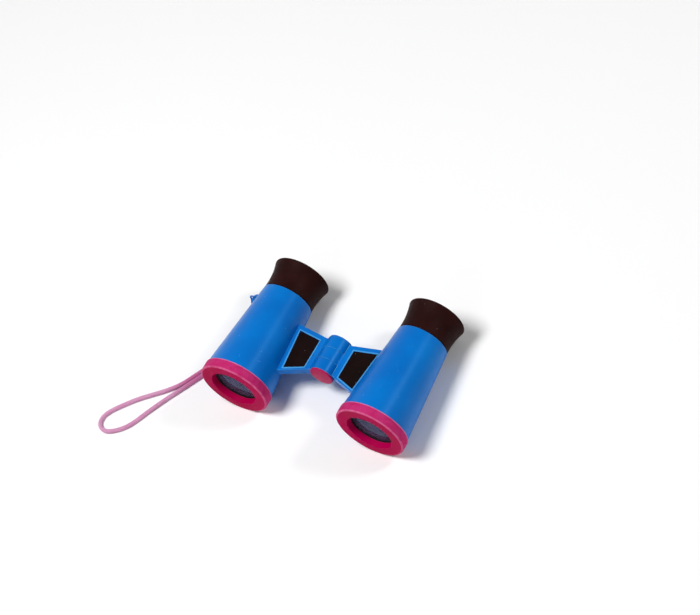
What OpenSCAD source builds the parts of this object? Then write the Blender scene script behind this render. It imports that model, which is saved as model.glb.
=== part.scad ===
// Toy binoculars, lying on a table: folding bridge, pull-out eyepieces and a wrist cord.
// X runs across the two barrels, +Y points to the eyepieces, +Z is up, all in millimetres.

/* [Barrels] */
// Distance between the two barrel axes with the bridge flat
axis_spacing = 86; // [82:1:90]
// Length of the blue barrel between the objective ring and the eyecup
barrel_len = 54.2; // [51:0.2:58]
// Outer diameter of the barrel at the eyepiece end
barrel_rear_d = 29.4; // [27.6:0.1:31.4]
// Wall of the barrel
barrel_wall = 2; // [1.6:0.1:2.2]

/* [Objective end] */
// Outer diameter of the objective ring
ring_d = 40; // [36:0.1:44]
// How far the objective ring stands proud of the barrel, all round
ring_step = 0.5; // [0.3:0.1:0.8]
// Thickness of the band of the objective ring
ring_band_t = 3.2; // [2.6:0.1:3.6]
// Width of the objective ring along the barrel
ring_w = 5.8; // [5.4:0.1:6.8]
// Rounding of the front edge of the ring
ring_nose_r = 1; // [0.6:0.1:1.2]
// Rounding of the back edge of the ring
ring_edge_r = 0.4; // [0.2:0.1:0.5]
// How far the ring reaches in over the edge of the lens
ring_reach = 2.2; // [1.8:0.1:2.6]
// Depth of the opening in the front of the ring
opening_depth = 3.4; // [3:0.1:3.8]
// How much the opening narrows towards the lens, all round
opening_taper = 0.4; // [0.2:0.1:0.8]
// Thickness of the objective lens at its edge
lens_edge_t = 1.6; // [1.2:0.1:2]
// Height of each face of the objective lens above its edge
lens_crown = 1.2; // [0.8:0.1:1.4]
// Flat rim of the objective lens
lens_rim_w = 1; // [0.8:0.1:1.2]
// How far the black ring in front of the lens reaches in past the objective ring
retainer_reach = 0.7; // [0.5:0.1:0.9]
// Length of the black ring in front of the lens
retainer_len = 0.8; // [0.7:0.1:1]
// Wall of the barrel spigot that carries the objective ring
spigot_wall = 1.6; // [1.2:0.1:1.8]
// Thickness of the shoulder behind the lens
shoulder_t = 2; // [1.6:0.1:2.6]

/* [Eyepieces] */
// Length of the eyecup
cup_len = 17; // [16:0.2:19]
// Gap between the barrel and the eyecup pushed home
cup_gap = 0.4; // [0.3:0.1:0.8]
// How much smaller than the barrel end the eyecup base is, all round
cup_step = 0.2; // [0:0.1:0.5]
// How far the eyecup rim stands out past its base, all round
cup_flare = 1.8; // [1.4:0.1:2.4]
// How far the side of the eyecup is hollowed
cup_waist = 1.6; // [0.8:0.1:1.8]
// Rounding of the eyecup rim
cup_lip_r = 0.8; // [0.6:0.1:1]
// Depth of the hollow in the eyecup
cup_hollow = 5.8; // [5:0.1:6.4]
// Thickness of the eyecup floor over the tube
cup_floor_t = 1.2; // [0.8:0.1:1.6]
// How far the hole in the eyecup floor clears the eye lens
cup_hole_gap = 0.5; // [0.3:0.1:0.9]
// Wall of the barrel round the eyepiece tube
guide_wall = 2.65; // [2.35:0.05:2.85]
// Wall of the eyepiece tube
tube_wall = 1.3; // [1:0.1:1.6]
// Length of the eyepiece tube inside the barrel
tube_in = 13.3; // [12:0.1:14]
// Length of the guide for the eyepiece tube in the barrel
guide_len = 16.3; // [15:0.1:18]
// Wall of the eyepiece tube round the eye lens
ocular_wall = 3.9; // [3.6:0.1:4.2]
// Thickness of the eye lens at its edge
ocular_edge_t = 4.4; // [4.2:0.1:4.6]
// Depth of each hollow face of the eye lens
ocular_dish = 1.5; // [1.2:0.1:1.6]
// Flat rim of the eye lens
ocular_rim_w = 1; // [0.8:0.1:1.2]
// Thickness of the lip in front of the eye lens
ocular_lip_t = 1.5; // [1:0.1:1.8]
// Length of the ring that holds the eye lens
ocular_ring_len = 2; // [1.6:0.1:2.4]

/* [Bridge] */
// Position of the middle of the hinge along the barrels
hinge_y = -4.4; // [-7:0.1:-2]
// Length of the hinge knuckles together
hinge_len = 21; // [20:0.5:24]
// Diameter of the hinge
hinge_d = 14; // [13.6:0.1:15]
// Length of the middle knuckle
mid_knuckle_len = 7; // [6:0.5:8]
// Gap round the knuckles
knuckle_gap = 0.3; // [0.3:0.05:0.5]
// Gap between the ends of the knuckles
seam_gap = 0.1; // [0.1:0.05:0.3]
// Radius of the fillets between the hinge and the bridge
fillet_r = 3; // [2:0.5:3.5]
// Thickness of the bridge
bridge_t = 4; // [3.8:0.1:4.6]
// How much shorter than the hinge the bridge is at each end
bridge_inset = 0.3; // [0.1:0.1:0.6]
// How far the front edge of the bridge runs forward from the hinge to the barrel
front_flare = 7; // [5:0.5:8]
// How far the rear edge of the bridge runs back from the hinge to the barrel
rear_flare = 3.1; // [2:0.1:4]
// Margin between the grip pad and the front edge of the bridge
pad_front_margin = 1.6; // [1.4:0.1:2]
// Margin between the grip pad and the rear edge of the bridge
pad_rear_margin = 3.2; // [2.4:0.1:3.8]
// Distance from the hinge to the grip pad
pad_hinge_gap = 3.8; // [3.4:0.1:4.6]
// Distance from the barrel to the grip pad
pad_barrel_gap = 2.6; // [1.8:0.1:3.4]
// Thickness of the grip pad
pad_t = 1.2; // [1:0.1:1.4]
// Height of the grip pad above the bridge
pad_proud = 0.3; // [0.1:0.1:0.4]
// Width of the raised line round the grip pad
frame_w = 0.7; // [0.5:0.1:0.9]
// Height of the raised line round the grip pad
frame_h = 0.4; // [0.3:0.1:0.5]

/* [Hinge parts] */
// Diameter of the hinge pin
pin_d = 4.4; // [4:0.1:5]
// Diameter of the head of the hinge pin
pin_head_d = 8.4; // [7.6:0.1:8.8]
// Thickness of the head of the hinge pin
pin_head_t = 1.6; // [1.2:0.1:1.8]
// Depth of the pockets in the ends of the hinge
pocket_depth = 3; // [2.8:0.1:3.4]
// Thickness of the clip on the pin
clip_t = 0.8; // [0.6:0.1:1]
// How far the pin stands out of the clip
pin_tail = 0.7; // [0.4:0.1:0.8]
// Thickness of the hinge caps at their edge
cap_t = 0.9; // [0.7:0.1:1.2]
// Height of the dome of the front cap
cap_dome = 0.5; // [0.3:0.1:0.7]
// How much smaller than the hinge the caps are, all round
cap_inset = 0.3; // [0.1:0.1:0.5]

/* [Strap] */
// Distance of the strap lug from the end of the barrel
lug_end_gap = 4.8; // [4.2:0.1:5.8]
// Outer radius of the strap lug
lug_r = 2.9; // [2.7:0.1:2.9]
// Thickness of the strap lug
lug_t = 3; // [2.4:0.1:3.2]
// Diameter of the eyelet in the strap lug
eyelet_d = 2.6; // [2.4:0.1:2.8]
// Distance of the edge of the eyelet from the barrel
eyelet_gap = 0.2; // [0.1:0.1:0.3]
// Diameter of the wrist cord
cord_d = 2.4; // [2:0.1:2.4]
// Diameter of the thin string at the lug
tie_d = 0.9; // [0.7:0.1:0.9]
// Diameter of the ferrule
ferrule_d = 5.2; // [5.2:0.1:5.6]
// Rounding of the ends of the ferrule
ferrule_edge_r = 0.6; // [0.4:0.1:0.8]

/* [Fits] */
// Running fit of the tubes and of the pin, on the radius
slide_fit = 0.05; // [0.03:0.01:0.08]
// Clearance round seated pieces, on the radius
seat_fit = 0.1; // [0.05:0.05:0.15]
// Overrun of cuts past a face
over = 1; // [0.5:0.5:2]

/* [Hidden] */
$fn = 96;
left = -1;
right = 1;

// Stations along the barrel
total_len = ring_w + barrel_len + cup_gap + cup_len;
ring_front = -total_len / 2;
ring_back = ring_front + ring_w;
barrel_rear = ring_back + barrel_len;
cup_base = barrel_rear + cup_gap;
cup_rim = cup_base + cup_len;
lip_back = ring_front + opening_depth;
lens_front = lip_back + retainer_len;
lens_seat = lens_front + lens_edge_t;
shoulder_back = lens_seat + shoulder_t;
guide_front = barrel_rear - guide_len;
tube_front = barrel_rear - tube_in;
cup_floor = cup_rim - cup_hollow;
tube_rear = cup_floor - cup_floor_t;
ocular_back = tube_rear - ocular_ring_len;
ocular_front = ocular_back - ocular_edge_t;
ocular_wall_front = ocular_front - ocular_lip_t;

// Radii about the barrel axis
ring_r = ring_d / 2;
barrel_front_r = ring_r - ring_step;
barrel_rear_r = barrel_rear_d / 2;
spigot_r = ring_r - ring_band_t - seat_fit;
lens_bore_r = spigot_r - spigot_wall;
lens_r = lens_bore_r - seat_fit;
lens_face_r = lens_r - lens_rim_w;
aperture_r = lens_r - ring_reach;
retainer_bore_r = aperture_r - retainer_reach;
retainer_relief = 2 * lens_crown / lens_face_r * (lens_face_r - retainer_bore_r);
guide_r = barrel_rear_r - guide_wall;
tube_r = guide_r - slide_fit;
ocular_bore_r = tube_r - ocular_wall;
ocular_r = ocular_bore_r - seat_fit;
ocular_face_r = ocular_r - ocular_rim_w;
cup_base_r = barrel_rear_r - cup_step;
cup_rim_r = cup_base_r + cup_flare;
cup_hole_r = ocular_r + cup_hole_gap;
cup_bore_r = tube_r + slide_fit;
barrel_slope = (barrel_front_r - barrel_rear_r) / barrel_len;
function barrel_r(a) = barrel_front_r - (a - ring_back) * barrel_slope;

// Radius of a sphere that rises by the height over the half width
function sphere_r(half, height) = (half * half + height * height) / (2 * height);

// Rest on the back edges of the rings and on the eyecup rims
rest_ring = [ring_back - ring_edge_r, ring_r - ring_edge_r];
rest_cup = [cup_rim - cup_lip_r, cup_rim_r - cup_lip_r];
rest_run = rest_cup - rest_ring;
rest_tilt = atan2(rest_run[1], rest_run[0]) - asin((ring_edge_r - cup_lip_r) / norm(rest_run));
axis_height = cos(rest_tilt) * rest_ring[1] - sin(rest_tilt) * rest_ring[0] + ring_edge_r;

// Bridge and hinge
hinge_r = hinge_d / 2;
hinge_front = hinge_y - hinge_len / 2;
hinge_rear = hinge_y + hinge_len / 2;
mid_half = mid_knuckle_len / 2;
mid_clear_half = mid_half + seam_gap;
knuckle_clear_r = hinge_r + knuckle_gap;
bridge_half_t = bridge_t / 2;
root_x = axis_spacing / 2 - barrel_r(hinge_y);
pin_r = pin_d / 2;
pin_bore_r = pin_r + slide_fit;
pin_head_r = pin_head_d / 2;
pocket_r = pin_head_r + seat_fit;
pocket_front = hinge_front + pocket_depth;
pocket_rear = hinge_rear - pocket_depth;
pin_end = pocket_rear + clip_t + pin_tail;
cap_r = hinge_r - cap_inset;
pad_in_x = hinge_r + pad_hinge_gap;
pad_out_front_x = axis_spacing / 2 - barrel_r(hinge_front - front_flare) - pad_barrel_gap;
pad_out_rear_x = axis_spacing / 2 - barrel_r(hinge_rear + rear_flare) - pad_barrel_gap;
pad_floor = bridge_half_t + pad_proud - pad_t;
tip_front = hinge_front + bridge_inset;
tip_rear = hinge_rear - bridge_inset;
fillet_z = bridge_half_t + fillet_r;
fillet_x = sqrt((hinge_r + fillet_r) * (hinge_r + fillet_r) - fillet_z * fillet_z);
function bridge_run(x) = (x - hinge_r) / (root_x - hinge_r);
function bridge_front(x) = tip_front - bridge_run(x) * front_flare;
function bridge_rear(x) = tip_rear + bridge_run(x) * rear_flare;

// Strap lug on the left barrel
lug_y = barrel_rear - lug_end_gap;
eyelet_off = barrel_r(lug_y) + eyelet_gap + eyelet_d / 2;

// Wrist cord on the table: out of the ferrule, round the loop and back
cord_route = [
  [-69.2, -5, 2.6], [-69.2, -8, 2.6], [-69.8, -11.3, 1.8], [-71, -14.6, 1.2], [-73.2, -18.5, 1.2],
  [-75.8, -22.6, 1.2], [-78.6, -26.9, 1.2], [-81.3, -31.2, 1.2], [-84.1, -35.5, 1.2], [-87.5, -39.7, 1.2],
  [-91.7, -43.5, 1.2], [-96.4, -47.2, 1.2], [-101.4, -50.8, 1.2], [-106.2, -54.7, 1.2],
  [-110.8, -59.1, 1.2], [-115, -63.4, 1.2], [-118.2, -67.5, 1.2], [-119.5, -71.5, 1.2],
  [-118.6, -75.1, 1.2], [-115.7, -77.4, 1.2], [-111.8, -77.4, 1.2], [-107.6, -75.3, 1.2],
  [-103.7, -72.3, 1.2], [-100.8, -68.8, 1.2], [-98.3, -64.4, 1.2], [-95.9, -59.8, 1.2],
  [-93.3, -55.2, 1.2], [-90.7, -50.8, 1.2], [-88, -46.4, 1.2], [-85.2, -42, 1.2], [-82.3, -37.6, 1.2],
  [-79.6, -33.3, 1.2], [-76.8, -29, 1.2], [-74.1, -24.6, 1.2], [-71.2, -20.3, 1.2], [-68.7, -16, 1.2],
  [-67.2, -12.6, 1.5], [-66.6, -9.6, 2.3], [-66.6, -7.5, 2.6], [-66.6, -5, 2.6]];

// Thin string: out of the ferrule, up through the eyelet, over the lug and back
tie_route = [
  [-67.3, 6, 2.6], [-67.3, 8, 2.6], [-66.7, 10.2, 3.4], [-65.4, 12.3, 5.6], [-63.6, 14.2, 8.4],
  [-61.6, 15.6, 11.6], [-60.2, 16.3, 14.7], [-59.6, 16.5, 17.1], [-59.6, 16.5, 18.3],
  [-60.2, 16.5, 19.8], [-61.8, 16.5, 20.5], [-63.3, 16.5, 19.8], [-63.9, 16.5, 18.3], [-64, 16.5, 17.1],
  [-64.4, 16.2, 14.7], [-65.3, 15.4, 11.4], [-66.6, 13.9, 8], [-67.7, 12, 5.3], [-68.4, 10, 3.4],
  [-68.5, 8, 2.6], [-68.5, 6, 2.6]];
ferrule_x = (cord_route[0][0] + cord_route[len(cord_route) - 1][0]) / 2;
ferrule_rear = tie_route[0][1];
ferrule_front = cord_route[0][1];
ferrule_z = cord_route[0][2];
tube_sides = 8;

// Points on an arc about a centre, from one angle to another
function arc(c, r, from, to, steps) =
  [for (i = [0:steps]) c + r * [cos(from + (to - from) * i / steps), sin(from + (to - from) * i / steps)]];

// Points on a curve from p to q that leans to m
function lean(p, m, q, steps) =
  [for (i = [0:steps]) let (t = i / steps) (1 - t) * (1 - t) * p + 2 * t * (1 - t) * m + t * t * q];

function unit(v) = v / norm(v);
function heading(route, i) = unit(route[min(i + 1, len(route) - 1)] - route[max(i - 1, 0)]);
function square_to(v, along) = unit(v - (v * along) * along);
function sides_of(route, i, v) =
  let (n = square_to(v, heading(route, i)))
  i == len(route) - 1 ? [n] : concat([n], sides_of(route, i + 1, n));

// A round tube of straight facets along a route
module tube_along(route, d, first) {
  normals = sides_of(route, 0, first);
  rings = [for (i = [0:len(route) - 1]) for (j = [0:tube_sides - 1])
    let (turn = 180 * (2 * j + 1) / tube_sides)
    route[i] + d / 2 * (cos(turn) * normals[i] + sin(turn) * cross(heading(route, i), normals[i]))];
  last = (len(route) - 1) * tube_sides;
  skin = [for (i = [0:len(route) - 2]) for (j = [0:tube_sides - 1])
    let (k = (j + 1) % tube_sides, b = i * tube_sides)
    [b + j, b + tube_sides + j, b + tube_sides + k, b + k]];
  near_end = [for (j = [0:tube_sides - 1]) j];
  far_end = [for (j = [tube_sides - 1:-1:0]) last + j];
  polyhedron(points = rings, faces = concat(skin, [near_end, far_end]));
}

// From the frame of the barrels to the table
module at_rest() {
  translate([0, 0, axis_height]) rotate([rest_tilt, 0, 0]) children();
}

// A profile of radius and station, turned about an axis that runs along Y
module turned(x) {
  translate([x, 0, 0]) rotate([-90, 0, 0]) rotate_extrude() children();
}

module on_barrel(side) {
  at_rest() turned(side * axis_spacing / 2) children();
}

module on_hinge() {
  at_rest() turned(0) children();
}

// Bridge outline of the right half, as seen from above
module bridge_outline(from_x, to_front_x, to_rear_x, front_margin, rear_margin) {
  polygon([[from_x, bridge_front(from_x) + front_margin],
    [to_front_x, bridge_front(to_front_x) + front_margin],
    [to_rear_x, bridge_rear(to_rear_x) - rear_margin],
    [from_x, bridge_rear(from_x) - rear_margin]]);
}

module pad_outline() {
  bridge_outline(pad_in_x, pad_out_front_x, pad_out_rear_x, pad_front_margin, pad_rear_margin);
}

module frame_outline() {
  bridge_outline(pad_in_x - frame_w, pad_out_front_x + frame_w, pad_out_rear_x + frame_w,
    pad_front_margin - frame_w, pad_rear_margin - frame_w);
}

// Fillet between the hinge and one face of the bridge
module hinge_fillet() {
  translate([0, tip_rear, 0]) rotate([90, 0, 0]) linear_extrude(tip_rear - tip_front)
    polygon(concat([[0, 0], [fillet_x, 0]],
      arc([fillet_x, fillet_z], fillet_r, 270, 180 + atan2(fillet_z, fillet_x), 5)));
}

// Plate of the right half of the bridge with the raised line round its pad
module bridge_plate() {
  translate([0, 0, -bridge_half_t])
    linear_extrude(bridge_t)
      bridge_outline(0, axis_spacing / 2, axis_spacing / 2, 0, 0);
  linear_extrude(bridge_half_t + frame_h) frame_outline();
  hinge_fillet();
  mirror([0, 0, 1]) hinge_fillet();
}

module barrel_outside() {
  polygon([[0, lip_back], [spigot_r, lip_back], [spigot_r, ring_back], [barrel_front_r, ring_back],
    [barrel_rear_r, barrel_rear], [0, barrel_rear]]);
}

module barrel_inside() {
  polygon([[0, lip_back - over], [lens_bore_r, lip_back - over], [lens_bore_r, lens_seat],
    [lens_face_r, lens_seat], [lens_face_r, shoulder_back],
    [barrel_r(shoulder_back) - barrel_wall, shoulder_back],
    [barrel_r(guide_front) - barrel_wall, guide_front], [guide_r, guide_front],
    [guide_r, barrel_rear + over], [0, barrel_rear + over]]);
}

// Length of the hinge between two stations, out to a radius
module knuckle(from, to, r) {
  translate([0, from, 0]) rotate([-90, 0, 0]) cylinder(h = to - from, r = r);
}

module hinge_bores() {
  knuckle(hinge_front - over, hinge_rear + over, pin_bore_r);
  knuckle(hinge_front - over, pocket_front, pocket_r);
  knuckle(pocket_rear, hinge_rear + over, pocket_r);
}

module pad_recess() {
  translate([0, 0, pad_floor]) linear_extrude(pad_t + over) pad_outline();
}

module strap_lug() {
  translate([-axis_spacing / 2, lug_y, -lug_t / 2]) {
    translate([-eyelet_off, 0, 0]) cylinder(h = lug_t, r = lug_r);
    translate([-eyelet_off, -lug_r, 0]) cube([lug_r, 2 * lug_r, lug_t]);
  }
}

module eyelet() {
  translate([-axis_spacing / 2 - eyelet_off, lug_y, -lug_t / 2 - over])
    cylinder(h = lug_t + 2 * over, d = eyelet_d);
}

module left_barrel() {
  color("#0b74c8") at_rest() difference() {
    union() {
      turned(-axis_spacing / 2) barrel_outside();
      mirror([1, 0, 0]) bridge_plate();
      knuckle(hinge_front, hinge_rear, hinge_r);
      strap_lug();
    }
    turned(-axis_spacing / 2) barrel_inside();
    knuckle(hinge_y - mid_clear_half, hinge_y + mid_clear_half, knuckle_clear_r);
    hinge_bores();
    mirror([1, 0, 0]) pad_recess();
    eyelet();
  }
}

module right_barrel() {
  color("#0b74c8") at_rest() difference() {
    union() {
      turned(axis_spacing / 2) barrel_outside();
      difference() {
        bridge_plate();
        knuckle(hinge_front - over, hinge_y - mid_half, knuckle_clear_r);
        knuckle(hinge_y + mid_half, hinge_rear + over, knuckle_clear_r);
      }
      knuckle(hinge_y - mid_half, hinge_y + mid_half, hinge_r);
    }
    turned(axis_spacing / 2) barrel_inside();
    hinge_bores();
    pad_recess();
  }
}

module objective_ring(side) {
  color("#b80f5c") on_barrel(side)
    polygon(concat(
      arc([ring_r - ring_edge_r, ring_back - ring_edge_r], ring_edge_r, 90, 0, 4),
      arc([ring_r - ring_nose_r, ring_front + ring_nose_r], ring_nose_r, 0, -90, 6),
      [[aperture_r + opening_taper, ring_front], [aperture_r, lip_back],
        [spigot_r + seat_fit, lip_back], [spigot_r + seat_fit, ring_back]]));
}

module lens_retainer(side) {
  color("#17130f") on_barrel(side)
    polygon([[retainer_bore_r, lip_back], [lens_r, lip_back], [lens_r, lens_front],
      [lens_face_r, lens_front], [retainer_bore_r, lens_front - retainer_relief]]);
}

// A lens face that rises from a rim station to the axis
function lens_face(face_r, rim_a, rise, steps) =
  let (r = sphere_r(face_r, abs(rise)), way = sign(rise))
  [for (i = [0:steps]) let (h = face_r * i / steps)
    [h, rim_a + way * (sqrt(r * r - h * h) - r) + rise]];

module objective_lens(side) {
  color("#6f7684") on_barrel(side)
    polygon(concat(
      lens_face(lens_face_r, lens_front, -lens_crown, 8),
      [[lens_r, lens_front], [lens_r, lens_seat]],
      [for (i = [8:-1:0]) lens_face(lens_face_r, lens_seat, lens_crown, 8)[i]]));
}

module eyepiece_tube(side) {
  color("#17130f") on_barrel(side)
    polygon([[tube_r - tube_wall, tube_front], [tube_r, tube_front], [tube_r, tube_rear],
      [ocular_bore_r, tube_rear], [ocular_bore_r, ocular_front], [ocular_face_r, ocular_front],
      [ocular_face_r, ocular_wall_front], [tube_r - tube_wall, ocular_wall_front]]);
}

module eyepiece_lens(side) {
  color("#6f7684") on_barrel(side)
    polygon(concat(
      lens_face(ocular_face_r, ocular_front, ocular_dish, 6),
      [[ocular_r, ocular_front], [ocular_r, ocular_back]],
      [for (i = [6:-1:0]) lens_face(ocular_face_r, ocular_back, -ocular_dish, 6)[i]]));
}

module eyepiece_ring(side) {
  color("#17130f") on_barrel(side)
    polygon([[ocular_face_r, ocular_back], [ocular_r, ocular_back], [ocular_r, tube_rear],
      [ocular_face_r, tube_rear]]);
}

module eyecup(side) {
  lip = [cup_rim_r - cup_lip_r, cup_rim - cup_lip_r];
  base = [cup_base_r, cup_base];
  flare = [cup_rim_r, lip[1]];
  well = [lip[0] - cup_lip_r, lip[1]];
  color("#1e1614") on_barrel(side)
    polygon(concat(
      lean(base, (base + flare) / 2 - [cup_waist, 0], flare, 8),
      arc(lip, cup_lip_r, 0, 180, 8),
      lean(well, [(well[0] + tube_r) / 2, cup_floor], [tube_r, cup_floor], 6),
      [[cup_hole_r, cup_floor], [cup_hole_r, tube_rear], [cup_bore_r, tube_rear],
        [cup_bore_r, cup_base]]));
}

module grip_pad(side) {
  color("#1e1614") at_rest() mirror([side == left ? 1 : 0, 0, 0])
    translate([0, 0, pad_floor]) linear_extrude(pad_t) pad_outline();
}

module hinge_pin() {
  color("#a9abb0") on_hinge()
    polygon([[0, pocket_front - pin_head_t], [pin_head_r, pocket_front - pin_head_t],
      [pin_head_r, pocket_front], [pin_r, pocket_front], [pin_r, pin_end], [0, pin_end]]);
}

module hinge_clip() {
  color("#a9abb0") on_hinge()
    polygon([[pin_r, pocket_rear], [pin_head_r, pocket_rear], [pin_head_r, pocket_rear + clip_t],
      [pin_r, pocket_rear + clip_t]]);
}

module hinge_front_cap() {
  dome_r = sphere_r(cap_r, cap_dome);
  color("#b80f5c") on_hinge()
    polygon(concat(
      [[0, pocket_front - pin_head_t], [pin_head_r, pocket_front - pin_head_t], [pin_head_r, hinge_front],
        [cap_r, hinge_front]],
      [for (i = [6:-1:0]) let (h = cap_r * i / 6)
        [h, hinge_front - cap_t - cap_dome + dome_r - sqrt(dome_r * dome_r - h * h)]]));
}

module hinge_rear_cap() {
  color("#0b74c8") on_hinge()
    polygon([[0, pin_end], [pin_head_r, pin_end], [pin_head_r, hinge_rear], [cap_r, hinge_rear],
      [cap_r, hinge_rear + cap_t], [0, hinge_rear + cap_t]]);
}

module strap_tie() {
  color("#0b74c8") tube_along(tie_route, tie_d, [1, 0, 0]);
}

module strap_ferrule() {
  r = ferrule_d / 2;
  color("#b80f5c") translate([0, 0, ferrule_z]) turned(ferrule_x)
    polygon(concat(
      [[0, ferrule_front]],
      arc([r - ferrule_edge_r, ferrule_front + ferrule_edge_r], ferrule_edge_r, -90, 0, 4),
      arc([r - ferrule_edge_r, ferrule_rear - ferrule_edge_r], ferrule_edge_r, 0, 90, 4),
      [[0, ferrule_rear]]));
}

module wrist_cord() {
  color("#d58bb4") tube_along(cord_route, cord_d, [1, 0, 0]);
}

left_barrel();
right_barrel();
objective_ring(left);  // left_objective_ring
objective_ring(right);  // right_objective_ring
lens_retainer(left);  // left_lens_retainer
lens_retainer(right);  // right_lens_retainer
objective_lens(left);  // left_objective_lens
objective_lens(right);  // right_objective_lens
eyepiece_tube(left);  // left_eyepiece_tube
eyepiece_tube(right);  // right_eyepiece_tube
eyepiece_lens(left);  // left_eyepiece_lens
eyepiece_lens(right);  // right_eyepiece_lens
eyepiece_ring(left);  // left_eyepiece_ring
eyepiece_ring(right);  // right_eyepiece_ring
eyecup(left);  // left_eyecup
eyecup(right);  // right_eyecup
grip_pad(left);  // left_grip_pad
grip_pad(right);  // right_grip_pad
hinge_pin();
hinge_clip();
hinge_front_cap();
hinge_rear_cap();
strap_tie();
strap_ferrule();
wrist_cord();
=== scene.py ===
import math

import bmesh
import bpy
from mathutils import Matrix, Vector


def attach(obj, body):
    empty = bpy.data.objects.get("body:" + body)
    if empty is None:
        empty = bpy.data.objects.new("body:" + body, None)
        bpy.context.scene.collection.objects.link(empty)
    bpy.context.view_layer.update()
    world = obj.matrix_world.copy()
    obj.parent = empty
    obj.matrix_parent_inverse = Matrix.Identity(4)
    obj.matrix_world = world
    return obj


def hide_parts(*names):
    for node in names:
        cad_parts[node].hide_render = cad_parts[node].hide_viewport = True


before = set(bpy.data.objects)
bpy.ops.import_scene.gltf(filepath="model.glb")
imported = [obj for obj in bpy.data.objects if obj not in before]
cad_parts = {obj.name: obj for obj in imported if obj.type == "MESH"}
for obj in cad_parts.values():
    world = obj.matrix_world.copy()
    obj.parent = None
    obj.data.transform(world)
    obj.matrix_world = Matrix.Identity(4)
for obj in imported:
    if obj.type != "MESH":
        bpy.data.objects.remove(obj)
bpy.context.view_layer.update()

# Sizes and places are in millimetres, as in the part, unless a comment says that they are in metres.
# The barrels have a frame of their own: x across, y along their axes to the eyepieces, z up from the axes.
# A station is a y of that frame.
MM = 0.001
TILT = math.radians(-2.9743403)     # the barrel axes dip towards the eyepieces
AXIS_H = 18.2457020                 # height of the barrel axes above the table, at station 0
AXIS_X = 43.0                       # from the hinge to each barrel axis


def row(x, y, z):
    """A point of the barrels' own frame, as a point of the row frame in metres."""
    c = math.cos(TILT)
    s = math.sin(TILT)
    return Vector((x, y * c - z * s, y * s + z * c + AXIS_H)) * MM


def add(name, data):
    """A new object in the scene."""
    obj = bpy.data.objects.new(name, data)
    bpy.context.scene.collection.objects.link(obj)
    return obj


# Camera at the photograph's angle, in metres
CAMERA_TARGET = Vector((0, 0, 0.0182))
CAMERA_BACK = Vector((0.4821, -0.3636, 0.7971))     # direction from the object to the camera
CAMERA_RIGHT = Vector((0.8383, 0.4560, -0.2990))    # direction to the right of the picture
CAMERA_DISTANCE = 1.667
CAMERA_ASIDE = 0.0079                               # the object lies left of the picture's middle
CAMERA_RAISED = 0.0242                              # and below it
CAMERA_REACH = 200
CAMERA_LENS_MM = 161.1
CAMERA_SENSOR_MM = 36


def place_camera():
    back = CAMERA_BACK.normalized()
    right = (CAMERA_RIGHT - CAMERA_RIGHT.dot(back) * back).normalized()
    up = back.cross(right)
    place = CAMERA_TARGET + CAMERA_DISTANCE * back + CAMERA_ASIDE * right + CAMERA_RAISED * up
    camera = add("camera", bpy.data.cameras.new("camera"))
    camera.data.lens = CAMERA_LENS_MM
    camera.data.sensor_width = CAMERA_SENSOR_MM
    camera.data.clip_end = CAMERA_REACH
    camera.matrix_world = Matrix.Translation(place) @ Matrix((right, up, back)).transposed().to_4x4()
    bpy.context.scene.camera = camera


place_camera()

# The routes of the wrist cord and of its tie string, as in the part
CORD_D = 2.4
CORD = [
    (-69.2, -5, 2.6), (-69.2, -8, 2.6), (-69.8, -11.3, 1.8), (-71, -14.6, 1.2), (-73.2, -18.5, 1.2),
    (-75.8, -22.6, 1.2), (-78.6, -26.9, 1.2), (-81.3, -31.2, 1.2), (-84.1, -35.5, 1.2), (-87.5, -39.7, 1.2),
    (-91.7, -43.5, 1.2), (-96.4, -47.2, 1.2), (-101.4, -50.8, 1.2), (-106.2, -54.7, 1.2),
    (-110.8, -59.1, 1.2), (-115, -63.4, 1.2), (-118.2, -67.5, 1.2), (-119.5, -71.5, 1.2),
    (-118.6, -75.1, 1.2), (-115.7, -77.4, 1.2), (-111.8, -77.4, 1.2), (-107.6, -75.3, 1.2),
    (-103.7, -72.3, 1.2), (-100.8, -68.8, 1.2), (-98.3, -64.4, 1.2), (-95.9, -59.8, 1.2),
    (-93.3, -55.2, 1.2), (-90.7, -50.8, 1.2), (-88, -46.4, 1.2), (-85.2, -42, 1.2), (-82.3, -37.6, 1.2),
    (-79.6, -33.3, 1.2), (-76.8, -29, 1.2), (-74.1, -24.6, 1.2), (-71.2, -20.3, 1.2), (-68.7, -16, 1.2),
    (-67.2, -12.6, 1.5), (-66.6, -9.6, 2.3), (-66.6, -7.5, 2.6), (-66.6, -5, 2.6)]
TIE_D = 0.9
TIE = [
    (-67.3, 6, 2.6), (-67.3, 8, 2.6), (-66.7, 10.2, 3.4), (-65.4, 12.3, 5.6), (-63.6, 14.2, 8.4),
    (-61.6, 15.6, 11.6), (-60.2, 16.3, 14.7), (-59.6, 16.5, 17.1), (-59.6, 16.5, 18.3),
    (-60.2, 16.5, 19.8), (-61.8, 16.5, 20.5), (-63.3, 16.5, 19.8), (-63.9, 16.5, 18.3), (-64, 16.5, 17.1),
    (-64.4, 16.2, 14.7), (-65.3, 15.4, 11.4), (-66.6, 13.9, 8), (-67.7, 12, 5.3), (-68.4, 10, 3.4),
    (-68.5, 8, 2.6), (-68.5, 6, 2.6)]
CURVE_STEPS = 12                        # fine points from one point of a route to the next
FIXED_POINTS = 4                        # points at each end of a path that its smoothing leaves alone
BRAID_MAP = "braid"                     # the UV map that the braided materials read


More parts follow.
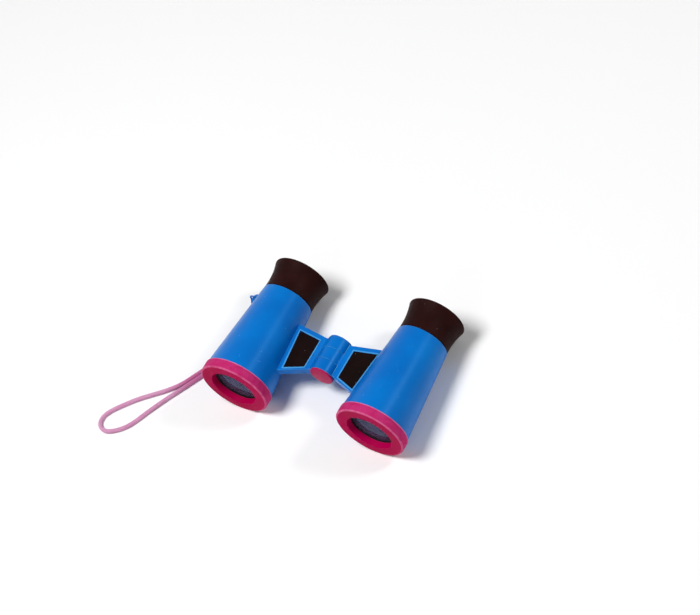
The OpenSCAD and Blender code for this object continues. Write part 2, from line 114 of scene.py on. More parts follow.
def curve_through(points):
    """A fine, smooth line through the points of a route."""
    p = [Vector(q) for q in points]
    p = [2 * p[0] - p[1], *p, 2 * p[-1] - p[-2]]
    line = []
    for a, b, c, d in zip(p, p[1:], p[2:], p[3:]):
        for k in range(CURVE_STEPS):
            t = k / CURVE_STEPS
            line.append(0.5 * (2 * b + (c - a) * t + (2 * a - 5 * b + 4 * c - d) * t * t
                               + (3 * b - a - 3 * c + d) * t ** 3))
    return [*line, p[-2]]


def evenly(line, step):
    """Points at even distances along a line, about a step apart."""
    run = [0.0]
    for a, b in zip(line, line[1:]):
        run.append(run[-1] + (b - a).length)
    count = max(2, round(run[-1] / step))
    even = []
    j = 0
    for i in range(count + 1):
        want = run[-1] * i / count
        while j < len(run) - 2 and run[j + 1] < want:
            j += 1
        even.append(line[j].lerp(line[j + 1], (want - run[j]) / (run[j + 1] - run[j])))
    return even


def smooth_path(points, step, rounds):
    """An even, smooth run of points along a route, in metres. The ends and what is near them stay."""
    path = evenly(curve_through(points), step)
    for _ in range(rounds):
        smoother = [(a + 2 * b + c) / 4 for a, b, c in zip(path, path[1:], path[2:])]
        path = path[:FIXED_POINTS] + smoother[FIXED_POINTS - 1:1 - FIXED_POINTS] + path[-FIXED_POINTS:]
    lowest = min(q[2] for q in points)
    return [Vector((q.x, q.y, max(q.z, lowest))) * MM for q in path]


# Mesh making
TIP_R = 1e-6            # a ring of a smaller radius is one point
SHARP_ANGLE = 32        # degrees from which an edge is sharp


def band(bm, ring, after):
    """Smooth faces all round between two rings of points. A ring of one point is a tip."""
    sides = max(len(ring), len(after))
    faces = []
    for j in range(sides):
        k = (j + 1) % sides
        corners = [ring[j % len(ring)], after[j % len(after)], after[k % len(after)], ring[k % len(ring)]]
        faces.append(bm.faces.new(list(dict.fromkeys(corners))))
        faces[-1].smooth = True
    return faces


def mesh_object(name, bm, sharp=None):
    """The object of a finished mesh: faces outward, and edges sharp from an angle in degrees."""
    bmesh.ops.recalc_face_normals(bm, faces=bm.faces)
    mesh = bpy.data.meshes.new(name)
    bm.to_mesh(mesh)
    bm.free()
    if sharp is not None:
        mesh.set_sharp_from_angle(angle=math.radians(sharp))
    return add(name, mesh)


def tube(name, path, width, sides):
    """A round tube along a path, with a UV map: u once round it, v in widths along it."""
    bm = bmesh.new()
    uv = bm.loops.layers.uv.new(BRAID_MAP)
    turns = [math.tau * j / sides for j in range(sides)]
    side = Vector((1, 0, 0))
    rings = []
    along = [0.0]
    for i, q in enumerate(path):
        way = (path[min(i + 1, len(path) - 1)] - path[max(i - 1, 0)]).normalized()
        side = (side - side.dot(way) * way).normalized()
        over = way.cross(side)
        spots = [q + width / 2 * (math.cos(t) * side + math.sin(t) * over) for t in turns]
        rings.append([bm.verts.new(spot) for spot in spots])
        if i:
            along.append(along[-1] + (q - path[i - 1]).length / width)
    for i in range(len(path) - 1):
        for j, face in enumerate(band(bm, rings[i], rings[i + 1])):
            corners = ((j, i), (j, i + 1), (j + 1, i + 1), (j + 1, i))
            for loop, (u, v) in zip(face.loops, corners):
                loop[uv].uv = (u / sides, along[v])
    bm.faces.new(rings[0])
    bm.faces.new(reversed(rings[-1]))
    return mesh_object(name, bm)


def lathe(name, profile, x=0.0, turns=160, place=row):
    """A closed profile of radius and station, turned about an axis along the barrels."""
    bm = bmesh.new()
    angles = [math.tau * j / turns for j in range(turns)]
    rings = []
    for r, station in profile:
        spots = [(x, 0)] if r < TIP_R else [(x + r * math.cos(t), r * math.sin(t)) for t in angles]
        rings.append([bm.verts.new(place(across, station, above)) for across, above in spots])
    for ring, after in zip(rings, rings[1:] + rings[:1]):
        if len(ring) > 1 or len(after) > 1:
            band(bm, ring, after)
    return mesh_object(name, bm, SHARP_ANGLE)


def arc(centre, radius, start, end, steps):
    """Points on an arc, from one angle to another in degrees."""
    angles = [math.radians(start + (end - start) * i / steps) for i in range(steps + 1)]
    return [(centre[0] + radius * math.cos(t), centre[1] + radius * math.sin(t)) for t in angles]


def bend(start, pull, end, steps):
    """Points on a curve from start to end that leans towards pull on its way."""
    curve = []
    for i in range(steps + 1):
        t = i / steps
        curve.append(tuple((1 - t) ** 2 * a + 2 * t * (1 - t) * b + t * t * c
                           for a, b, c in zip(start, pull, end)))
    return curve


def dome(half, height, steps):
    """Radius and rise of points on a shallow sphere cap, from the axis out."""
    sphere = (half * half + height * height) / (2 * height)
    out = [half * i / steps for i in range(steps + 1)]
    return [(r, math.sqrt(sphere * sphere - r * r) - sphere + height) for r in out]


# Pieces that stand for CAD nodes, each with its node's name
stand_ins = []


def stand_in(piece, body, node):
    """Lets a piece ride on a body in the place of a CAD node."""
    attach(piece, body)
    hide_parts(node)
    stand_ins.append((piece, node))


# Ferrule, with two crimped grooves round it
FERRULE_X = -67.9
FERRULE_H = 2.6
FERRULE_R = 2.6
FERRULE_FRONT = -5.0
FERRULE_REAR = 6.0
FERRULE_EDGE_R = 0.6
GROOVES = (-1.8, 2.8)
GROOVE_DEPTH = 0.26
GROOVE_HALF_W = 0.56
GROOVE_HALF_STEPS = 8


def ferrule_profile():
    edge_r = FERRULE_R - FERRULE_EDGE_R
    profile = [(0.0, FERRULE_FRONT)]
    profile += arc((edge_r, FERRULE_FRONT + FERRULE_EDGE_R), FERRULE_EDGE_R, start=-90, end=0, steps=8)
    for groove in GROOVES:
        for i in range(-GROOVE_HALF_STEPS, GROOVE_HALF_STEPS + 1):
            t = i / GROOVE_HALF_STEPS
            dip = GROOVE_DEPTH / 2 * (1 + math.cos(math.pi * t))
            profile.append((FERRULE_R - dip, groove + GROOVE_HALF_W * t))
    profile += arc((edge_r, FERRULE_REAR - FERRULE_EDGE_R), FERRULE_EDGE_R, start=0, end=90, steps=8)
    return [*profile, (0.0, FERRULE_REAR)]


def ferrule_place(x, y, z):
    """A point round the ferrule's level axis, as a point of the row frame in metres."""
    return Vector((x, y, z + FERRULE_H)) * MM


# Cord, string and ferrule
cord_path = smooth_path(CORD, step=0.6, rounds=14)
tie_path = smooth_path(TIE, step=0.25, rounds=6)
cord = tube("cord_braid", cord_path, CORD_D * MM, sides=20)
tie = tube("tie_string", tie_path, TIE_D * MM, sides=12)
ferrule = lathe("ferrule", ferrule_profile(), FERRULE_X, turns=64, place=ferrule_place)
stand_in(cord, "left_half", "wrist_cord")
stand_in(tie, "left_half", "strap_tie")
stand_in(ferrule, "left_half", "strap_ferrule")

# Barrels, which stay as the CAD has them
BARREL_FRONT = -32.9
BARREL_LEN = 54.2
BARREL_REAR = BARREL_FRONT + BARREL_LEN
BARREL_FRONT_R = 19.5
BARREL_REAR_R = 14.7
BARREL_TAPER = (BARREL_FRONT_R - BARREL_REAR_R) / BARREL_LEN

# Objective rings
RING_R = 20.0
RING_FRONT = -38.7
RING_FRONT_EDGE_R = 1.0
RING_BACK = BARREL_FRONT
RING_BACK_EDGE_R = 0.4
RING_BORE_R = 16.8          # behind the lip
LIP_BACK = -35.3            # the lip is the flat front round the opening
OPENING_R = 12.8            # at the back of the lip, from where it widens to the front
MOUTH_EDGE_R = 0.2
MOUTH_EDGE_MIDDLE = 13.38


def ring_profile():
    back = (RING_R - RING_BACK_EDGE_R, RING_BACK - RING_BACK_EDGE_R)
    front = (RING_R - RING_FRONT_EDGE_R, RING_FRONT + RING_FRONT_EDGE_R)
    mouth = (MOUTH_EDGE_MIDDLE, RING_FRONT + MOUTH_EDGE_R)
    return [
        *arc(back, RING_BACK_EDGE_R, start=90, end=0, steps=8),
        *arc(front, RING_FRONT_EDGE_R, start=0, end=-90, steps=14),
        *arc(mouth, MOUTH_EDGE_R, start=270, end=187, steps=5),
        (OPENING_R, LIP_BACK), (RING_BORE_R, LIP_BACK), (RING_BORE_R, RING_BACK)]


# Lenses, with a flat rim round their ground faces
LENS_R = 15.0
LENS_FACE_R = 14.0
LENS_CROWN = 1.2
LENS_FRONT = -34.5
LENS_BACK = BARREL_FRONT
EYE_LENS_R = 8.0
EYE_LENS_FACE_R = 7.0
EYE_LENS_DISH = 1.5
EYE_LENS_FRONT = 25.3
EYE_LENS_BACK = 29.7


def front_lens_profile():
    crown = dome(LENS_FACE_R, LENS_CROWN, steps=40)
    return [
        *[(r, LENS_FRONT - rise) for r, rise in crown], (LENS_R, LENS_FRONT),
        (LENS_R, LENS_BACK), *[(r, LENS_BACK + rise) for r, rise in reversed(crown)]]


def eye_lens_profile():
    dish = dome(EYE_LENS_FACE_R, EYE_LENS_DISH, steps=28)
    return [
        *[(r, EYE_LENS_FRONT + rise) for r, rise in dish], (EYE_LENS_R, EYE_LENS_FRONT),
        (EYE_LENS_R, EYE_LENS_BACK), *[(r, EYE_LENS_BACK - rise) for r, rise in reversed(dish)]]


# Eyecups, on the ends of the eyepiece tubes
CUP_BASE = 21.7
CUP_BASE_R = 14.5
CUP_BASE_EDGE_R = 0.25
CUP_SIDE = 22.0             # where the curved side starts
CUP_WAIST = 1.6             # how far the side's curve is drawn in
CUP_RIM = 38.7
CUP_RIM_R = 16.3
CUP_LIP_R = 0.8
CUP_FLOOR = 32.9
CUP_HOLE_R = 8.5
CUP_BORE_R = 12.05
TUBE_R = 12.0
TUBE_REAR = 31.7


def eyecup_profile():
    base = (CUP_BASE_R - CUP_BASE_EDGE_R, CUP_BASE + CUP_BASE_EDGE_R)
    lip = (CUP_RIM_R - CUP_LIP_R, CUP_RIM - CUP_LIP_R)
    waist = ((CUP_BASE_R + CUP_RIM_R) / 2 - CUP_WAIST, (CUP_BASE + lip[1]) / 2)
    mouth_r = lip[0] - CUP_LIP_R
    hollow = ((mouth_r + TUBE_R) / 2, CUP_FLOOR)
    return [
        *arc(base, CUP_BASE_EDGE_R, start=-90, end=0, steps=5)[:-1],
        *bend((CUP_BASE_R, CUP_SIDE), waist, (CUP_RIM_R, lip[1]), steps=40),
        *arc(lip, CUP_LIP_R, start=0, end=180, steps=20)[1:],
        *bend((mouth_r, lip[1]), hollow, (TUBE_R, CUP_FLOOR), steps=24)[1:],
        (CUP_HOLE_R, CUP_FLOOR), (CUP_HOLE_R, TUBE_REAR), (CUP_BORE_R, TUBE_REAR), (CUP_BORE_R, CUP_BASE)]


# Front cap of the hinge, with a plug behind it
HINGE_FRONT = -14.9
CAP_R = 6.7
CAP_EDGE_R = 0.35
CAP_EDGE_TURN = 82          # degrees
CAP_FACE = -15.8
CAP_FACE_R = 6.4
CAP_CROWN = 0.5
PLUG_R = 4.2
PLUG_END = -13.5


def cap_profile():
    edge = (CAP_R - CAP_EDGE_R, CAP_FACE + CAP_EDGE_R * math.sin(math.radians(CAP_EDGE_TURN)))
    face = dome(CAP_FACE_R, CAP_CROWN, steps=30)[:-1]
    return [
        (0.0, PLUG_END), (PLUG_R, PLUG_END), (PLUG_R, HINGE_FRONT), (CAP_R, HINGE_FRONT),
        *arc(edge, CAP_EDGE_R, start=0, end=-CAP_EDGE_TURN, steps=8),
        *[(r, CAP_FACE - rise) for r, rise in reversed(face)]]


# Grip pads in the bridge, with round corners and a soft upper edge
PAD_CORNERS = [(10.8, -14.4), (21.87, -18.47), (24.62, 5.47), (10.8, 3.22)]     # of the right pad
PAD_CORNER_R = 1.5
PAD_CORNER_STEPS = 10
PAD_FLOOR = 1.1
PAD_TOP = 2.3
PAD_EDGE_R = 0.3
PAD_GAP = 0.03              # between a pad and the wall of its recess


def pad_rim(way):
    """For each point round a pad, the middle of its corner's rounding and the direction from there."""
    spots = [Vector((way * x, y)) for x, y in PAD_CORNERS]
    rim = []
    for last, spot, after in zip(spots[-1:] + spots, spots, spots[1:] + spots[:1]):
        to_last = (last - spot).normalized()
        to_after = (after - spot).normalized()
        half = to_last.angle(to_after) / 2
        middle = spot + (to_last + to_after).normalized() * PAD_CORNER_R / math.sin(half)
        reach = PAD_CORNER_R / math.tan(half)
        start = (spot + to_last * reach - middle).normalized()
        end = (spot + to_after * reach - middle).normalized()
        rim += [(middle, start.slerp(end, k / PAD_CORNER_STEPS)) for k in range(PAD_CORNER_STEPS + 1)]
    return rim


def grip_pad(name, way):
    """A pad in its recess, on the right for way 1 and on the left for way -1."""
    bm = bmesh.new()
    rim = pad_rim(way)
    edge = arc((PAD_EDGE_R, PAD_TOP - PAD_EDGE_R), PAD_EDGE_R, start=180, end=90, steps=5)
    rings = []
    for inset, height in [(0.0, PAD_FLOOR), *edge]:
        reach = PAD_CORNER_R - PAD_GAP - inset
        rings.append([bm.verts.new(row(*(middle + reach * out), height)) for middle, out in rim])
    for low, high in zip(rings, rings[1:]):
        band(bm, low, high)
    bm.faces.new(rings[0])
    bm.faces.new(rings[-1])
    return mesh_object(name, bm, SHARP_ANGLE)


# Both sides, smooth where the solids are made of short straight steps
for side, way in (("left", -1), ("right", 1)):
    x = way * AXIS_X
    pad = grip_pad(f"{side}_pad", way)
    ring = lathe(f"{side}_ring", ring_profile(), x)
    front_lens = lathe(f"{side}_front_lens", front_lens_profile(), x)
    eye_lens = lathe(f"{side}_eye_lens", eye_lens_profile(), x, turns=96)
    cup = lathe(f"{side}_rubber_cup", eyecup_profile(), x)
    stand_in(ring, f"{side}_half", f"{side}_objective_ring")
    stand_in(front_lens, f"{side}_half", f"{side}_objective_lens")
    stand_in(eye_lens, f"{side}_eyepiece", f"{side}_eyepiece_lens")
    stand_in(cup, f"{side}_eyepiece", f"{side}_eyecup")
    stand_in(pad, f"{side}_half", f"{side}_grip_pad")
cap = lathe("front_cap", cap_profile(), turns=128)
stand_in(cap, "left_half", "hinge_front_cap")

# Materials
MOST = (0.3, 0.7)               # the span that most of a noise lies in
EDGE_TURN = (0.02, 0.3)         # 1 less the cosine of an edge's turn, where wear starts and is full
BEVEL_SAMPLES = 8
MIX_FACTOR, MIX_A, MIX_B, MIX_RESULT = 0, 6, 7, 2       # a Mix node's sockets for colours


class Nodes:
    """A material, with short calls for its nodes."""

    def __init__(self, name):
        self.mat = bpy.data.materials.new(name)
        self.mat.use_nodes = True
        self.tree = self.mat.node_tree
        self.shader = self.tree.nodes["Principled BSDF"]
        self.place = self.add("ShaderNodeTexCoord").outputs["Object"]

    def add(self, kind, **settings):
        node = self.tree.nodes.new(kind)
        for key, value in settings.items():
            setattr(node, key, value)
        return node

    def put(self, socket, value):
        """Links a socket to another one, or gives it a fixed value."""
        if isinstance(value, bpy.types.NodeSocket):
            self.tree.links.new(value, socket)
        else:
            socket.default_value = value

    def math(self, operation, a, b=0.0):
        node = self.add("ShaderNodeMath", operation=operation)
        self.put(node.inputs[0], a)
        self.put(node.inputs[1], b)
        return node.outputs[0]

    def plus(self, a, b):
        return self.math("ADD", a, b)

    def minus(self, a, b):
        return self.math("SUBTRACT", a, b)

    def times(self, a, b):
        return self.math("MULTIPLY", a, b)

    def over(self, a, b):
        """1 where a is greater than b, and 0 elsewhere."""
        return self.math("GREATER_THAN", a, b)

    def under(self, a, b):
        """1 where a is less than b, and 0 elsewhere."""
        return self.math("LESS_THAN", a, b)

    def parts(self, vector):
        """The three outputs of a vector's parts."""
        node = self.add("ShaderNodeSeparateXYZ")
        self.put(node.inputs[0], vector)
        return node.outputs

    def span(self, value, low, high, to=(0.0, 1.0)):
        """A value from low to high, eased into another span."""
        node = self.add("ShaderNodeMapRange", interpolation_type="SMOOTHSTEP")
        for socket, number in zip(node.inputs, (value, low, high, *to)):
            self.put(socket, number)
        return node.outputs[0]

    def mix(self, share, a, b):
        """Colour a with a share of colour b."""
        node = self.add("ShaderNodeMix", data_type="RGBA")
        self.put(node.inputs[MIX_FACTOR], share)
        for socket, colour in ((node.inputs[MIX_A], a), (node.inputs[MIX_B], b)):
            self.put(socket, colour if isinstance(colour, bpy.types.NodeSocket) else (*colour, 1))
        return node.outputs[MIX_RESULT]

    def noise(self, size_mm, detail=3.0, rough=0.5, place=None):
        node = self.add("ShaderNodeTexNoise")
        self.put(node.inputs["Vector"], place or self.place)
        self.put(node.inputs["Scale"], 1 / MM / size_mm)
        self.put(node.inputs["Detail"], detail)
        self.put(node.inputs["Roughness"], rough)
        return node.outputs[0]

    def cells(self, size_mm, feature="F1"):
        """Distance from the middles of scattered cells, as a share of their size."""
        node = self.add("ShaderNodeTexVoronoi", feature=feature)
        self.put(node.inputs["Vector"], self.place)
        self.put(node.inputs["Scale"], 1 / MM / size_mm)
        return node.outputs["Distance"]

    def specks(self, apart_mm, core, rim, share):
        """Scattered specks: a full share out to their core, and none from their rim."""
        return self.span(self.cells(apart_mm), core, rim, to=(share, 0.0))

    def edges(self, radius_mm):
        """The rounded normal at sharp edges, and how much of an edge each spot is."""
        bevel = self.add("ShaderNodeBevel", samples=BEVEL_SAMPLES)
        self.put(bevel.inputs["Radius"], radius_mm * MM)
        flat = self.add("ShaderNodeNewGeometry").outputs["Normal"]
        dot = self.add("ShaderNodeVectorMath", operation="DOT_PRODUCT")
        self.put(dot.inputs[0], bevel.outputs[0])
        self.put(dot.inputs[1], flat)
        return bevel.outputs[0], self.span(self.minus(1.0, dot.outputs["Value"]), *EDGE_TURN)

    def bump(self, height, depth_mm, normal=None):
        node = self.add("ShaderNodeBump")
        self.put(node.inputs["Strength"], 1.0)
        self.put(node.inputs["Distance"], depth_mm * MM)
        self.put(node.inputs["Height"], height)
        if normal is not None:
            self.put(node.inputs["Normal"], normal)
        return node.outputs[0]

    def finish(self, **values):
        """The material, with these values on its shader. A name has _ for the space in a socket's name."""
        for key, value in values.items():
            self.put(self.shader.inputs[key.replace("_", " ")], value)
        return self.mat


def srgb(r, g, b):
    """A colour as a screen shows it, from 0 to 255, in the linear values of a shader."""
    return tuple(c / 255 / 12.92 if c <= 10 else ((c / 255 + 0.055) / 1.055) ** 2.4 for c in (r, g, b))


# Where the plastics change colour: the inside of the barrels, and painted highlight on the rings and on the
# raised line round the pads
BORE_MARGIN = 1.0               # from the outside of a barrel in to where its inside colour starts
BORE_STOP = BARREL_REAR - 0.1   # the rear face keeps the outside colour
BAND_R = (19.1, 20.3)           # the outside of a ring lies between these radii
BACK_HIGHLIGHT = -33.45            # behind this station a pale line of painted highlight runs round a ring's back edge
BACK_HIGHLIGHT_R = 19.4
FRONT_HIGHLIGHT = -38.1            # in front of this station a pale line of painted highlight runs round its front edge
FRONT_HIGHLIGHT_R = 18.9
LINE_ABOVE = (2.25, 2.6)        # heights of the top of the raised line round a pad, where a highlight is painted
LINE_OUT = (9.6, 25.8)          # its distances from the hinge
FACING_UP = 0.9                 # a normal's upward part on a level face


def barrel_place(m):
    """Distance out from the hinge, along the barrel axes and above them, in metres."""
    turn = m.add("ShaderNodeMapping")
    m.put(turn.inputs["Vector"], m.place)
    m.put(turn.inputs["Rotation"], (-TILT, 0, 0))
    m.put(turn.inputs["Location"], -(Matrix.Rotation(-TILT, 3, "X") @ Vector((0, 0, AXIS_H * MM))))
    parts = m.parts(turn.outputs[0])
    return m.math("ABSOLUTE", parts["X"]), parts["Y"], parts["Z"]


def axis_distance(m, out, above):
    """Distance from the nearer barrel axis, in metres."""
    across = m.minus(out, AXIS_X * MM)
    return m.math("SQRT", m.plus(m.times(across, across), m.times(above, above)))


def ring_masks(m):
    """1 where the rings take painted highlight: on their outside, on a line round their back edge, and on a
    line round their front edge.
    """
    out, along, above = barrel_place(m)
    reach = axis_distance(m, out, above)
    near = m.under(reach, BAND_R[1] * MM)
    outside = m.over(reach, BAND_R[0] * MM)
    back = m.times(m.over(along, BACK_HIGHLIGHT * MM), m.over(reach, BACK_HIGHLIGHT_R * MM))
    front = m.times(m.under(along, FRONT_HIGHLIGHT * MM), m.over(reach, FRONT_HIGHLIGHT_R * MM))
    return m.times(outside, near), m.times(back, near), m.times(front, near)


def bore_mask(m):
    """1 on the inside of the barrels."""
    out, along, above = barrel_place(m)
    bore_r = BARREL_FRONT_R + BARREL_FRONT * BARREL_TAPER - BORE_MARGIN     # at station 0
    bore = m.minus(bore_r * MM, m.times(along, BARREL_TAPER))
    return m.times(m.under(axis_distance(m, out, above), bore), m.under(along, BORE_STOP * MM))


def line_highlight_mask(m):
    """1 on the top of the raised line round each grip pad, where a highlight is painted."""
    out, _, above = barrel_place(m)
    normal = m.add("ShaderNodeNewGeometry").outputs["Normal"]
    mask = m.over(m.parts(normal)["Z"], FACING_UP)
    for value, (low, high) in ((above, LINE_ABOVE), (out, LINE_OUT)):
        mask = m.times(mask, m.over(value, low * MM))
        mask = m.times(mask, m.under(value, high * MM))
    return mask


def ring_colour(m, colour, patch, band_highlight, scuff_and_highlight):
    """The colour of the objective rings, with painted highlight: a paler outside, and pale lines round its
    back and front edges.
    """
    outside, back, front = ring_masks(m)
    colour = m.mix(m.times(outside, m.span(patch, *MOST, to=(0.5, 1.0))), colour, band_highlight)
    colour = m.mix(m.times(back, m.span(patch, 0.3, 0.65, to=(0.4, 0.8))), colour, scuff_and_highlight)
    return m.mix(m.times(front, m.span(patch, 0.3, 0.65, to=(0.15, 0.5))), colour, scuff_and_highlight)


def plastic(name, deep, light, scuff_and_highlight, rough, edge_mm=0.25, wear=0.5, grain_depth_mm=0.006, shine=0.3,
            shine_tint=(1.0, 1.0, 1.0), dust=None, dust_share=0.0, band_highlight=None, line=None, bore=None):
    """Moulded plastic: slow drift of colour, fine grain, rounded and scuffed edges, a few specks of dust.

    The outside of the rings and the top of the raised line round the pads take a painted highlight where
    its colour is given: band_highlight and line. The lines round the rings' back and front rims take the
    scuff colour as painted highlight. The inside of the barrels takes a colour of its own where one is
    given: bore.
    """
    m = Nodes(name)
    drift = m.span(m.noise(size_mm=26), *MOST)
    patch = m.noise(size_mm=3.2, detail=5, rough=0.6)
    grain = m.noise(size_mm=0.35, detail=2)
    rounded, edge = m.edges(edge_mm)
    colour = m.mix(drift, deep, light)
    if band_highlight is not None:
        # The rings' paler outside and the pale lines at their back and front rims are painted highlight.
        colour = ring_colour(m, colour, patch, band_highlight, scuff_and_highlight)
    colour = m.mix(m.span(patch, 0.5, 0.8, to=(0.0, 0.08)), colour, light)
    if line is not None:
        # The top of the raised line round the pads is made lighter: a painted highlight.
        colour = m.mix(m.times(line_highlight_mask(m), m.span(patch, 0.2, 0.8, to=(0.7, 0.95))), colour, line)
    worn = m.times(edge, m.span(patch, 0.25, 0.7, to=(0.35 * wear, wear)))
    colour = m.mix(worn, colour, scuff_and_highlight)
    if dust is not None:
        colour = m.mix(m.specks(apart_mm=3.0, core=0.028, rim=0.04, share=dust_share), colour, dust)
    dull = m.span(m.plus(m.times(patch, 0.7), m.times(drift, 0.3)), 0.2, 0.8, to=rough)
    dull = m.plus(dull, m.times(worn, 0.18))
    if bore is not None:
        inside = bore_mask(m)
        colour = m.mix(inside, colour, bore)
        dull = m.math("MAXIMUM", dull, m.times(inside, 0.75))
    height = m.plus(m.times(grain, 0.7), m.times(patch, 1.4))
    return m.finish(Base_Color=colour, Roughness=dull, Normal=m.bump(height, grain_depth_mm, rounded),
                    IOR=1.5, Specular_IOR_Level=shine, Specular_Tint=(*shine_tint, 1.0))


# Its line colour is a painted highlight on the top of the raised line round the pads.
blue = plastic(
    "blue_plastic", deep=srgb(0, 101, 186), light=srgb(0, 113, 198), scuff_and_highlight=srgb(112, 188, 236),
    rough=(0.28, 0.37), edge_mm=0.35, wear=1.0, shine_tint=(0.2, 0.62, 1.0),
    dust=srgb(235, 240, 245), dust_share=0.6, line=srgb(72, 160, 222), bore=srgb(24, 23, 25))
# Its band colour is a painted highlight on the outside of the rings. Its scuff colour also paints pale
# highlight lines at their rims, besides the scuffs on its edges.
magenta = plastic(
    "magenta_plastic", deep=srgb(164, 0, 62), light=srgb(178, 0, 76), scuff_and_highlight=srgb(232, 130, 172),
    rough=(0.4, 0.54), edge_mm=0.3, wear=0.7, shine=0.02,
    dust=srgb(245, 225, 232), dust_share=0.4, band_highlight=srgb(192, 50, 114))
# A lighter copy of the magenta plastic for the hinge's front cap: the extra lightness is painted highlight,
# and its pale edges are scuffs and painted highlight.
lit_cap_magenta = plastic(
    "lit_cap_magenta", deep=srgb(174, 16, 76), light=srgb(190, 34, 92), scuff_and_highlight=srgb(240, 170, 200),
    rough=(0.36, 0.5), edge_mm=0.45, wear=0.9, shine=0.1,
    dust=srgb(245, 225, 232), dust_share=0.4)
black = plastic(
    "black_plastic", deep=srgb(14, 11, 11), light=srgb(22, 17, 17), scuff_and_highlight=srgb(60, 52, 50),
    rough=(0.5, 0.66), grain_depth_mm=0.012, shine=0.12)


def rubber(name, deep, light, pebble_mm, pebble_depth_mm, rough):
    """Dull rubber: pebbled skin, paler worn edges, a few specks of dust."""
    m = Nodes(name)
    drift = m.span(m.noise(size_mm=9, detail=4), *MOST)
    grain = m.noise(size_mm=0.22, rough=0.6)
    pebble = m.span(m.cells(pebble_mm, "SMOOTH_F1"), 0.1, 0.75)
    rounded, edge = m.edges(radius_mm=0.3)
    worn = m.times(edge, m.span(m.noise(size_mm=1.6, detail=4), *MOST, to=(0.1, 0.45)))
    dust = m.specks(apart_mm=2.6, core=0.03, rim=0.045, share=0.75)
    colour = m.mix(drift, deep, light)
    colour = m.mix(worn, colour, srgb(92, 74, 70))
    colour = m.mix(dust, colour, srgb(205, 190, 180))
    dull = m.span(m.noise(size_mm=2.4, detail=4), 0.25, 0.75, to=rough)
    height = m.plus(m.times(pebble, -1.0), m.times(grain, 0.35))
    return m.finish(Base_Color=colour, Roughness=dull, Normal=m.bump(height, pebble_depth_mm, rounded),
                    IOR=1.48, Specular_IOR_Level=0.04)


cup_rubber = rubber(
    "cup_rubber", deep=srgb(30, 8, 7), light=srgb(38, 13, 11), pebble_mm=0.3, pebble_depth_mm=0.012,
    rough=(0.42, 0.56))
pad_rubber = rubber(
    "pad_rubber", deep=srgb(14, 5, 4), light=srgb(22, 9, 8), pebble_mm=0.55, pebble_depth_mm=0.05,
    rough=(0.6, 0.76))


def glass(name):
    """Moulded lens plastic: a grey-blue tint, a thin coating and faint smears."""
    m = Nodes(name)
    smear = m.span(m.noise(size_mm=6, detail=5, rough=0.6), 0.35, 0.75)
    waves = m.bump(m.noise(size_mm=4, detail=2), depth_mm=0.002)
    return m.finish(Base_Color=m.mix(smear, srgb(122, 128, 168), srgb(150, 154, 186)),
                    Roughness=m.span(smear, 0.0, 1.0, to=(0.02, 0.07)), Normal=waves, IOR=1.5,
                    Transmission_Weight=0.85, Specular_Tint=(0.35, 0.35, 0.55, 1.0),
                    Thin_Film_Thickness=135.0, Thin_Film_IOR=1.38)


lens_glass = glass("lens_glass")


def steel(name):
    """Drawn steel: fine lines along the pin, brighter edges."""
    m = Nodes(name)
    drawn = m.add("ShaderNodeMapping")
    m.put(drawn.inputs["Vector"], m.place)
    m.put(drawn.inputs["Scale"], (1, 0.08, 1))
    lines = m.noise(size_mm=0.12, rough=0.6, place=drawn.outputs[0])
    rounded, edge = m.edges(radius_mm=0.15)
    cloud = m.span(m.noise(size_mm=5, detail=4), *MOST)
    colour = m.mix(cloud, srgb(168, 170, 174), srgb(188, 189, 192))
    colour = m.mix(m.times(edge, 0.5), colour, srgb(214, 215, 217))
    return m.finish(Base_Color=colour, Metallic=1.0, Roughness=m.span(lines, *MOST, to=(0.26, 0.42)),
                    Normal=m.bump(lines, 0.003, rounded))


pin_steel = steel("pin_steel")

SHADE_SPAN = (-46 * MM, -30 * MM)    # along y, from where the cord's painted shade starts to where it is deepest
EVEN_SHIFT = 4000.0                 # an even number that keeps the count of crossings positive


def braid(name, deep, light, fleck, strands, pitch, depth_mm, sheen, painted_shade=None):
    """A braided cord: strands that run round it both ways, over and under each other.

    The colour given as painted_shade is a painted shade, towards which the cord darkens near the ferrule.
    """
    m = Nodes(name)
    uv = m.parts(m.add("ShaderNodeUVMap", uv_map=BRAID_MAP).outputs[0])
    turn = m.times(uv["X"], float(strands))
    run = m.times(uv["Y"], pitch)
    a = m.plus(turn, run)
    b = m.minus(turn, run)
    crossing = m.plus(m.plus(m.math("FLOOR", a), m.math("FLOOR", b)), EVEN_SHIFT)
    a_over = m.math("MODULO", crossing, 2.0)

    def strand(t):
        """The round back of a strand, across its width."""
        return m.math("SINE", m.times(m.math("FRACT", t), math.pi))

    top = m.plus(m.times(strand(a), a_over), m.times(strand(b), m.minus(1.0, a_over)))
    fibre = m.noise(size_mm=0.12, rough=0.6)
    yarn = m.mix(m.span(m.noise(size_mm=7), *MOST), light, fleck)
    if painted_shade is not None:
        # Painted shade: the cord darkens towards the ferrule.
        yarn = m.mix(m.span(m.parts(m.place)["Y"], *SHADE_SPAN, to=(0.0, 0.8)), yarn, painted_shade)
    colour = m.mix(m.span(top, 0.15, 0.75), deep, yarn)
    height = m.plus(top, m.times(fibre, 0.35))
    return m.finish(Base_Color=colour, Roughness=m.span(fibre, 0.2, 0.8, to=(0.68, 0.88)), IOR=1.45,
                    Normal=m.bump(height, depth_mm), Sheen_Weight=sheen, Sheen_Roughness=0.4)


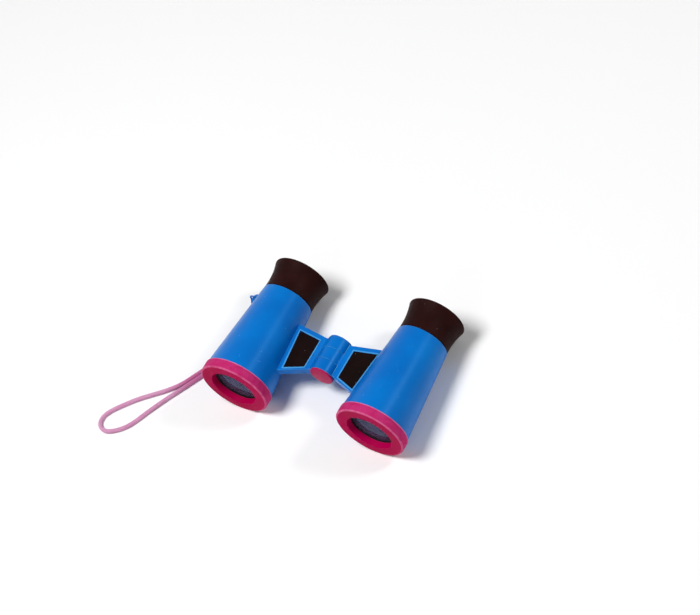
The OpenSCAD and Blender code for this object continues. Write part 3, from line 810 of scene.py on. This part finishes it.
# Its deeper colour near the ferrule is painted shade.
pink_cord = braid(
    "pink_cord", deep=srgb(176, 92, 142), light=srgb(220, 154, 194), fleck=srgb(230, 172, 208),
    strands=8, pitch=2.6, depth_mm=0.12, sheen=0.25, painted_shade=srgb(206, 84, 146))
tie_string = braid(
    "tie_string", deep=srgb(0, 84, 168), light=srgb(2, 112, 200), fleck=srgb(20, 124, 208),
    strands=4, pitch=1.1, depth_mm=0.06, sheen=0.1)

# The material of each node, whichever side it is on
PAINT = {
    "barrel": blue,
    "hinge_rear_cap": blue,
    "objective_ring": magenta,
    "strap_ferrule": magenta,
    "hinge_front_cap": lit_cap_magenta,
    "lens_retainer": black,
    "eyepiece_tube": black,
    "eyepiece_ring": black,
    "objective_lens": lens_glass,
    "eyepiece_lens": lens_glass,
    "eyecup": cup_rubber,
    "grip_pad": pad_rubber,
    "hinge_pin": pin_steel,
    "hinge_clip": pin_steel,
    "strap_tie": tie_string,
    "wrist_cord": pink_cord,
}


def dress(obj, mat):
    obj.data.materials.clear()
    obj.data.materials.append(mat)


def paint_of(node):
    return PAINT[node.removeprefix("left_").removeprefix("right_")]


for node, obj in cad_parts.items():
    dress(obj, paint_of(node))
for piece, node in stand_ins:
    dress(piece, paint_of(node))

# Floor, background and lamps, in metres and watts
FLOOR_HALF = 30
LIGHT_TARGET = Vector((0, 0, 0.01))
AMBIENT = 0.16          # the background's light on the object
BACKGROUND = 1.0        # the background where it is seen, also in a reflection or through a lens


def lay_floor():
    low = -FLOOR_HALF
    high = FLOOR_HALF
    mesh = bpy.data.meshes.new("floor")
    mesh.from_pydata([(low, low, 0), (high, low, 0), (high, high, 0), (low, high, 0)], [], [(0, 1, 2, 3)])
    floor = add("floor", mesh)
    m = Nodes("floor")
    colour = m.mix(m.noise(size_mm=400, detail=2), (0.94, 0.94, 0.94), (0.96, 0.96, 0.96))
    dress(floor, m.finish(Base_Color=colour, Roughness=0.7))


def hang_background():
    world = bpy.data.worlds.new("world")
    bpy.context.scene.world = world
    world.use_nodes = True
    tree = world.node_tree
    sky = tree.nodes["Background"]
    sky.inputs["Color"].default_value = (1, 1, 1, 1)
    rays = tree.nodes.new("ShaderNodeLightPath")
    seen = rays.outputs["Is Camera Ray"]
    for kind in ("Is Glossy Ray", "Is Transmission Ray"):
        either = tree.nodes.new("ShaderNodeMath")
        either.operation = "MAXIMUM"
        tree.links.new(seen, either.inputs[0])
        tree.links.new(rays.outputs[kind], either.inputs[1])
        seen = either.outputs[0]
    level = tree.nodes.new("ShaderNodeMapRange")
    level.inputs["To Min"].default_value = AMBIENT
    level.inputs["To Max"].default_value = BACKGROUND
    tree.links.new(seen, level.inputs["Value"])
    tree.links.new(level.outputs[0], sky.inputs["Strength"])


def lamp(name, place, size, power):
    """A round lamp that faces the object."""
    light = bpy.data.lights.new(name, "AREA")
    light.shape = "DISK"
    light.size = size
    light.energy = power
    obj = add(name, light)
    obj.location = place
    obj.rotation_euler = (LIGHT_TARGET - Vector(place)).to_track_quat("-Z", "Y").to_euler()


lay_floor()
hang_background()
lamp("key", place=(-0.26, -0.32, 1.24), size=0.5, power=13.8)
lamp("stripe", place=(0.88, 0.57, 0.93), size=0.26, power=4.6)
lamp("fill", place=(0.2, -1.34, 0.7), size=0.9, power=1.2)

bpy.context.scene.view_settings.view_transform = "Standard"
